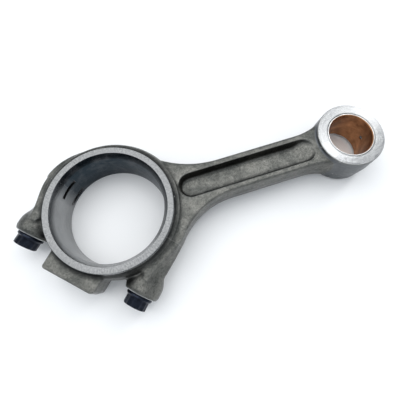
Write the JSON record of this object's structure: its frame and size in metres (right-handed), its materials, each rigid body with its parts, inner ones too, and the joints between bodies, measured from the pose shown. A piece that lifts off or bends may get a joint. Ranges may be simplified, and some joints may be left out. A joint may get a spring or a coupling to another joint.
{
  "type": "connecting rod",
  "caption": "Forged steel connecting rod with an oblique bolted big-end cap, I-section shank and a bronze-lined small end.",
  "frame": {"origin": "centre of the big-end bore, at mid-width", "axes": "+Z along the big-end bore, towards the deep-chamfered face; +X along the rod, towards the small end"},
  "size_m": [0.3108, 0.1355, 0.0376],
  "materials": {
    "rod_steel": "shot-blasted forging, machined faces and bores",
    "cap_steel": "shot-blasted forging, machined faces and bores",
    "bolt_oxide": "black oxide, lightly oiled",
    "bush_bronze": "bored bronze lining on a steel back"
  },
  "bodies": {
    "rod": {"rod_body": "rod_steel", "small_end_bush": "bush_bronze"},
    "cap": {"bearing_cap": "cap_steel"},
    "upper_bolt": {"upper_cap_bolt": "bolt_oxide"},
    "lower_bolt": {"lower_cap_bolt": "bolt_oxide"}
  },
  "joints": [
    {"name": "cap_removal", "type": "slide", "parent": "rod", "child": "cap", "axis": [-0.7071, -0.7071, 0], "range_m": [0, 0.04]},
    {"name": "upper_bolt_removal", "type": "slide", "parent": "cap", "child": "upper_bolt", "axis": [-0.7071, -0.7071, 0], "range_m": [0, 0.062]},
    {"name": "lower_bolt_removal", "type": "slide", "parent": "cap", "child": "lower_bolt", "axis": [-0.7071, -0.7071, 0], "range_m": [0, 0.062]}
  ]
}
